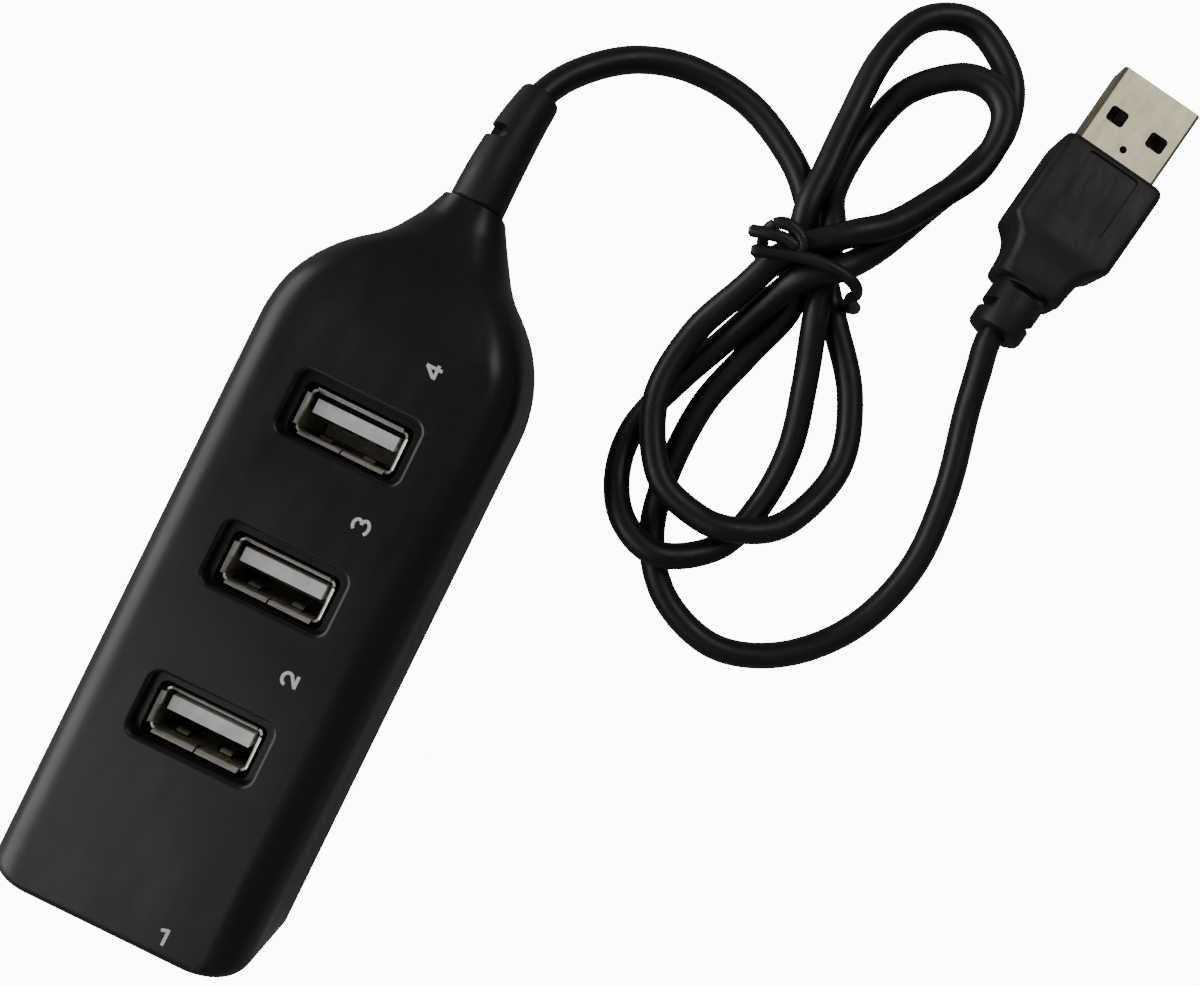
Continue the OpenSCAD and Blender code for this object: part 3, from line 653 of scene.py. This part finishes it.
def spring_tab(x, y, side):
    """Narrow sheet tongue, bent inwards with a round bead near its tip."""
    inward = -side
    centre_y = y - side * SHEET / 2
    heights = [4.9, 6.5, 8.2, 9.4, 10.0, 10.5, 11.0, 11.4]
    depths = [0, 0.05, 0.25, 0.5, 0.62, 0.6, 0.42, 0.2]
    half_w, half_t = 0.8, 0.11
    path = spline([(x, centre_y + inward * d, z) for d, z in zip(depths, heights)], 3)
    rings = []
    for p, way in zip(path, directions(path)):
        out = Vector((0, way.z, -way.y))
        rings.append([p + Vector((sx * half_w, 0, 0)) + out * st * half_t
                      for sx, st in ((-1, -1), (1, -1), (1, 1), (-1, 1))])
    return skin("tab", rings)


def legs(n):
    """Two legs that go down through the board."""
    pieces = []
    for sx in (-1, 1):
        x = sx * (SOCKET_W - SHEET) / 2
        if n == 1:
            pieces.append(block("leg", (x - SHEET / 2, -5.0, 5.2), (x + SHEET / 2, -0.5, 6.8)))
        else:
            pieces.append(block("leg", (x - SHEET / 2, -0.8, -2.1), (x + SHEET / 2, 0.8, 1.2)))
    return pieces


def build_sockets():
    for n in (1, 2, 3, 4):
        shell = socket_shell_mesh(f"socket_{n}_sheet")
        for leg in legs(n):
            combine(shell, leg, "UNION")
        placed(shell, port_matrix(n))
        finish_as(shell, "socket_steel")
        soften(shell, 0.05, 2)
        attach(shell, "case")
        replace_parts(shell, f"socket_{n}_shell")


# ------------------------------------------------------------------ cable

PLUG_TURN = math.radians(8.5)
PLUG_WAY = Vector((math.sin(PLUG_TURN), math.cos(PLUG_TURN), 0))
PLUG_BASE = Vector((72.15, 93.35, 4.4))


def on_plug(y):
    return tuple(PLUG_BASE + y * PLUG_WAY)


# Way-points of the cable's centre line, from the jacket's end in the case to the plug. Most of these numbers
# were made by a fitting program: an open fault.
LEAD = [(0, 43.4, BOOT_Z), (0, 50.4, BOOT_Z), (0.1, 55.6, 10.9), (0.3, 61.6, 10.1), (0.8, 67.6, 8.9),
        (3.7, 73.4, 7), (9.1, 78.8, 4.6), (16.4, 81.5, 2.9), (25.3, 80.9, 2.1), (33.5, 76.8, 2),
        (38.3, 72.1, 2.2)]
FIRST_LOOP = [(42.7, 66.4, 2.75), (48.3, 59.5, 2.7), (54.8, 51.3, 2.4), (57.7, 41.5, 3.1), (54.3, 31.6, 5.4),
              (48.2, 27.7, 7), (42.6, 27.3, 6.7), (36.1, 30, 6.5), (31.4, 38.7, 6.1), (32, 48.7, 5.8),
              (35.4, 56.7, 7.8), (38.4, 62.9, 9.5)]
INNER_LOOP = [(44.5, 68.2, 10.9), (49.1, 72.3, 9.65), (53.3, 79, 7.3), (56.4, 84.7, 5.9), (57.1, 90.2, 5.9),
              (56, 94, 5.8), (52.8, 96, 5.5), (48.4, 95.3, 4.9), (43.3, 91, 3.2), (41, 83.3, 2.2),
              (40.6, 74.5, 4.4), (42.6, 69.1, 6.7), (44.2, 63.8, 6.5)]
SECOND_LOOP = [(45.7, 57.8, 6.1), (48.5, 49.8, 3.5), (50.7, 41, 2.2), (50.4, 32.3, 2.1), (47.7, 24.8, 3.6),
               (40.9, 20.4, 5.8), (34.7, 22.3, 4.9), (31, 27.8, 2.6), (30.3, 34.8, 2), (32.9, 42.8, 2),
               (36.2, 50.3, 3.2), (39.1, 56.8, 6.1), (41.8, 61.1, 9.6)]
OUTER_LOOP = [(45.8, 64.3, 10), (49.1, 69.5, 7), (52.9, 78.2, 3.4), (56.5, 86.6, 2), (57.9, 93.1, 1.9),
              (55.5, 99.7, 2.1), (48.2, 104.2, 2.3), (41.5, 101.4, 3.2), (38.5, 93.3, 5.2), (38.2, 83.3, 6.1),
              (38.3, 75.5, 7.2), (38.4, 69.3, 7.5)]
THIRD_LOOP = [(40.7, 62.8, 5.1), (42.2, 57.8, 3.1), (39.8, 49.9, 2.1), (37.3, 40.6, 1.9), (37.3, 29, 1.9),
              (39.5, 21.1, 1.9), (45, 14.9, 1.9), (53.6, 12.3, 1.9), (62.4, 15.6, 1.9), (69.4, 23.3, 1.9),
              (72.9, 33.7, 1.9), (72.6, 44.9, 1.9), (70.2, 56.2, 2.1)]
END = [(69, 61.3, 3.3), on_plug(-28), on_plug(-24), on_plug(-19), on_plug(-14.2)]
WAY_POINTS = LEAD + FIRST_LOOP + INNER_LOOP + SECOND_LOOP + OUTER_LOOP + THIRD_LOOP + END
STEPS = 10
ROUTE = spline(WAY_POINTS, STEPS)
WAYS = directions(ROUTE)
LEAD_STOP = 5
SWING_START = len(WAY_POINTS) - 1 - len(END) - 2
LIFT_START = len(WAY_POINTS) - 1 - len(END)


def cable_piece(name, first, last):
    """Jacket between two way-points. The end rings are shared with the neighbouring pieces."""
    section = circle(CABLE_R, 28)
    rings = [ring(ROUTE[i], WAYS[i], section) for i in range(first * STEPS, last * STEPS + 1)]
    return finish_as(shade(skin(name, rings)), "cable_pvc")


def build_cable():
    lead = cable_piece("cable_lead", 0, LEAD_STOP)
    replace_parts(lead, "hub_lead")
    coil = cable_piece("cable_loops", LEAD_STOP, SWING_START)
    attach(coil, "coil")
    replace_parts(coil, "cable_coil")
    swing = cable_piece("cable_swing", SWING_START, LIFT_START)
    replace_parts(swing, "plug_lead")
    lift = cable_piece("cable_lift", LIFT_START, len(WAY_POINTS) - 1)
    return lead, swing, lift


# ------------------------------------------------------------------ boot

BOOT_LENGTH = 17.1
# the two middle points are way-points of the cable
BOOT_AXIS = [(0, NECK_Y + 0.05, BOOT_Z), (0.1, 55.6, 10.9), (0.3, 61.6, 10.1),
             (0.75, NECK_Y + BOOT_LENGTH, 9)]
BOOT_EDGE_R = 0.25
NOTCH_W, NOTCH_Y, NOTCH_END_X, NOTCH_FLOOR = 1.9, 60, 0.1, 9.6


def boot_radius(t):
    """Radius of the boot at a fraction of its length."""
    return between(3.65, 2.7, t ** 1.7)


def build_boot():
    """Sleeve with a flat tip, a stem in the neck and one deep notch on its left."""
    path = spline(BOOT_AXIS, 14)
    ways = directions(path)
    last = len(path) - 1
    rings = []
    for i, (p, way) in enumerate(zip(path, ways)):
        t = i / last
        if (1 - t) * BOOT_LENGTH >= BOOT_EDGE_R:
            rings.append(ring(p, way, circle(boot_radius(t) - quarter_drop(t * BOOT_LENGTH, 0.3), 48)))
    for k in range(7):
        a = math.radians(90 * k / 6)
        centre = path[-1] - ways[-1] * BOOT_EDGE_R * (1 - math.sin(a))
        rings.append(ring(centre, ways[-1], circle(boot_radius(1) - BOOT_EDGE_R * (1 - math.cos(a)), 48)))
    sleeve = skin("hub_boot_sleeve", rings)
    combine(sleeve, straight_rod("stem", STEM_R, 48, NECK_Y - NECK_WALL - 0.2, NECK_Y + 0.5, BOOT_Z), "UNION")
    half = NOTCH_W / 2
    outline = [(-7, -half)] + [(half * math.sin(math.radians(a)), -half * math.cos(math.radians(a)))
                               for a in range(0, 181, 12)] + [(-7, half)]
    notch = prism("notch", outline, NOTCH_FLOOR, CASE_H)
    combine(sleeve, placed(notch, Matrix.Translation(Vector((NOTCH_END_X - half, NOTCH_Y, 0)) * MM)))
    section = circle(CABLE_R + 0.03, 32)
    combine(sleeve, skin("bore", [ring(ROUTE[i], WAYS[i], section) for i in range(LEAD_STOP * STEPS)]))
    finish_as(sleeve, "moulded_pvc")
    soften(sleeve, 0.14, 3)
    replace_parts(sleeve, "hub_boot")
    return sleeve


# ------------------------------------------------------------------ twist tie

TIE_LOOP = [(34.2, 60.6, 12.2), (37.6, 61.7, 12.5), (41.4, 62.7, 12.8), (45.2, 62.9, 12.8),
            (47.9, 62.5, 11.9), (48.9, 62.1, 9.6), (48.6, 61.8, 7.2), (49.6, 61.9, 4.6), (50.2, 62.1, 2.6),
            (49.2, 62.3, 0.7),
            (45.5, 62.6, 0.45), (40, 62.8, 0.45), (36.6, 62.7, 1.2), (35.3, 62.5, 4.4), (35.3, 62.4, 8.2),
            (34.9, 62.8, 11), (34.9, 63.9, 12.3), (35.8, 65, 12.9), (37.1, 65.3, 13.1), (38.5, 65, 13),
            (39.5, 64.3, 12.9), (39.9, 63.5, 12.7), (39.6, 62.8, 12.5)]
TIE_END = [(32.9, 62.7, 12.5), (34.9, 63.1, 13), (37.2, 63.5, 13.1), (39.2, 63.3, 12.9)]


def coated_wire(name, points, steps):
    """Coated wire with blunt ends, pressed flat where it lies under the bundle."""
    path = spline(points, steps)
    rings = []
    last = len(path) - 1
    for i, (p, way) in enumerate(zip(path, directions(path))):
        half_t = between(0.4, 0.78, ease((p.z - 0.6) / 1.5))
        end = 0.7 if i in (0, last) else 1
        side = unit(way.cross((0, 1, 0))) if abs(way.y) < 0.7 else unit(way.cross((0, 0, 1)))
        flat = side.cross(way)
        rings.append([p + end * (flat * (0.82 * u) + side * (half_t * v)) for u, v in circle(1, 18)])
    back, forth = unit(path[0] - path[1]), unit(path[-1] - path[-2])
    rings = [[v + back * 0.12 for v in rings[0]]] + rings + [[v + forth * 0.12 for v in rings[-1]]]
    wire = shade(finish_as(skin(name, rings), "tie_plastic"))
    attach(wire, "coil")
    return wire


def build_tie():
    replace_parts(coated_wire("twist_tie_band", TIE_LOOP, 12), "twist_tie")
    coated_wire("twist_tie_end", TIE_END, 12)


# ------------------------------------------------------------------ plug

PLUG_MATRIX = Matrix.Translation(PLUG_BASE * MM) @ Matrix.Rotation(-PLUG_TURN, 4, "Z")
# along the plug from the grip's front face, half width, half thickness, corner radius
GRIP_STATIONS = [(0, 6.6, 3.5, 0.9), (-0.12, 7, 3.8, 1), (-0.35, 7.3, 4.05, 1.1), (-0.8, 7.5, 4.22, 1.2),
                 (-1.6, 7.55, 4.3, 1.2), (-6, 7.55, 4.3, 1.2), (-12.6, 7.55, 4.3, 1.3), (-13, 7.48, 4.3, 1.3),
                 (-13.4, 7.22, 4.3, 1.4), (-14, 6.6, 4.25, 1.5), (-14.8, 5.9, 4.15, 1.7),
                 (-15.6, 5.5, 4.05, 1.8), (-16.5, 5.2, 3.95, 1.9), (-18, 5, 3.9, 2), (-19.7, 4.9, 3.9, 2),
                 (-20, 4.75, 3.8, 2),
                 (-20.2, 4.3, 3.5, 2)]
SLEEVE_STATIONS = [(-18, 3.85), (-23, 3.85), (-26.4, 3.8), (-26.75, 3.65), (-26.9, 3.35)]


def grip_ring(y, half_w, half_t, radius):
    return [(u, y, v) for u, v in rounded_rectangle(2 * half_w, 2 * half_t, radius, 8)]


def build_grip():
    """Moulded grip: flat body, short shoulders, a collar and a notched sleeve."""
    grip = skin("plug_grip_body", [grip_ring(*s) for s in GRIP_STATIONS])
    sleeve = skin("sleeve", [[(u, y, v) for u, v in circle(r, 40)] for y, r in SLEEVE_STATIONS])
    combine(grip, sleeve, "UNION")
    panel = prism("panel", rounded_rectangle(7.6, 9.2, 0.5), 3.95, 6)
    combine(grip, placed(panel, Matrix.Translation((0, -5.6 * MM, 0))))
    for side in (-1, 1):
        low, high = sorted((side * 2.7, side * 6))
        combine(grip, block("notch", (-5, -21.3, low), (5, -20.5, high)))
        low, high = sorted((side * 2.5, side * 6))
        combine(grip, block("notch", (low, -24.7, -5), (high, -23.4, 5)))
    mouth = prism("mouth", rounded_rectangle(12.06, 4.56, 0.55), -6.2, 1)
    combine(grip, placed(mouth, Matrix.Rotation(math.radians(-90), 4, "X")))
    combine(grip, straight_rod("bore", CABLE_R + 0.03, 32, -27.5, -13.7))
    placed(grip, PLUG_MATRIX)
    finish_as(grip, "moulded_pvc")
    soften(grip, 0.14, 3)
    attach(grip, "plug")
    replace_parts(grip, "plug_grip")


# ------------------------------------------------------------------ carried-over CAD nodes

SHARP_NODES = ("plug_shell", "plug_insulator", "plug_contacts", "crystal", "capacitor", "hub_chip")
SHARP_ENDINGS = ("_insulator", "_contacts")


def dress_cad_nodes():
    """Every CAD node gets its material, and those with hard edges get them softened."""
    slots = {s["node"]: s["material_slot"] for s in frame["record"]["subparts"]}
    for name, obj in frame["nodes"].items():
        obj.data.materials.clear()
        obj.data.materials.append(LOOKS[slots[name]])
        if name.startswith(SHARP_NODES) or name.endswith(SHARP_ENDINGS):
            soften(obj, 0.06, 2)


# ------------------------------------------------------------------ stage

FLOOR_HALF = 1.5
SEEN_BRIGHTNESS = 12  # what the camera sees of the floor and of the room
FLOOR_GLOW, ROOM_GLOW = 0.05, 0.12  # what the object gets from them


def build_floor():
    """Pale floor that looks white to the camera, but throws little light on the object."""
    work = bmesh.new()
    bmesh.ops.create_grid(work, x_segments=1, y_segments=1, size=FLOOR_HALF)
    mesh = bpy.data.meshes.new("floor")
    work.to_mesh(mesh)
    work.free()
    floor = bpy.data.objects.new("floor", mesh)
    bpy.context.scene.collection.objects.link(floor)
    n = Nodes("floor_paper")
    n.shader.inputs["Base Color"].default_value = (0.3, 0.3, 0.3, 1)
    n.shader.inputs["Roughness"].default_value = 0.9
    n.shader.inputs["Specular IOR Level"].default_value = 0.1
    n.shader.inputs["Emission Color"].default_value = (1, 1, 1, 1)
    seen = n.add("ShaderNodeLightPath").outputs["Is Camera Ray"]
    n.link(n.remap(seen, FLOOR_GLOW, SEEN_BRIGHTNESS), n.shader.inputs["Emission Strength"])
    mesh.materials.append(n.material)


def build_room():
    world = bpy.data.worlds.new("studio")
    world.use_nodes = True
    tree = world.node_tree
    background = tree.nodes["Background"]
    background.inputs["Color"].default_value = (1, 1, 1, 1)
    strength = tree.nodes.new("ShaderNodeMapRange")
    strength.inputs["To Min"].default_value = ROOM_GLOW
    strength.inputs["To Max"].default_value = SEEN_BRIGHTNESS
    seen = tree.nodes.new("ShaderNodeLightPath").outputs["Is Camera Ray"]
    tree.links.new(seen, strength.inputs["Value"])
    tree.links.new(strength.outputs["Result"], background.inputs["Strength"])
    bpy.context.scene.world = world


def area_light(name, place, width, height, power):
    """Soft rectangular light aimed at the middle of the object."""
    light = bpy.data.lights.new(name, "AREA")
    light.shape = "RECTANGLE"
    light.size, light.size_y = width, height
    light.energy = power
    obj = bpy.data.objects.new(name, light)
    obj.location = place
    aim = Vector((0.03, 0.03, 0)) - Vector(place)
    obj.rotation_euler = aim.to_track_quat("-Z", "Y").to_euler()
    bpy.context.scene.collection.objects.link(obj)


def build_lights():
    area_light("left_wall", (-0.5, -0.05, 0.22), 0.8, 0.4, 2.6)
    area_light("front_left", (-0.2, -0.27, 0.42), 0.3, 0.3, 0.3)
    area_light("back_right", (0.21, 0.35, 0.45), 0.26, 0.26, 0.45)


def build_camera():
    camera = bpy.data.cameras.new("camera")
    camera.sensor_width = 36
    camera.lens = 32.46
    camera.shift_x = -0.0333
    camera.shift_y = 0.0142
    camera.clip_start = 0.005
    obj = bpy.data.objects.new("camera", camera)
    obj.location = (0.036, 0.0246, 0.150)
    obj.rotation_euler = (0, 0, math.radians(26.1))
    bpy.context.scene.collection.objects.link(obj)
    bpy.context.scene.camera = obj


build_case()
build_numerals()
build_sockets()
lead_piece, swing_piece, lift_piece = build_cable()
boot_piece = build_boot()
build_tie()
build_grip()
dress_cad_nodes()
for flexing in (lead_piece, boot_piece):
    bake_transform(flexing)
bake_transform(swing_piece)
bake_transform(lift_piece)
build_floor()
build_room()
build_lights()
build_camera()
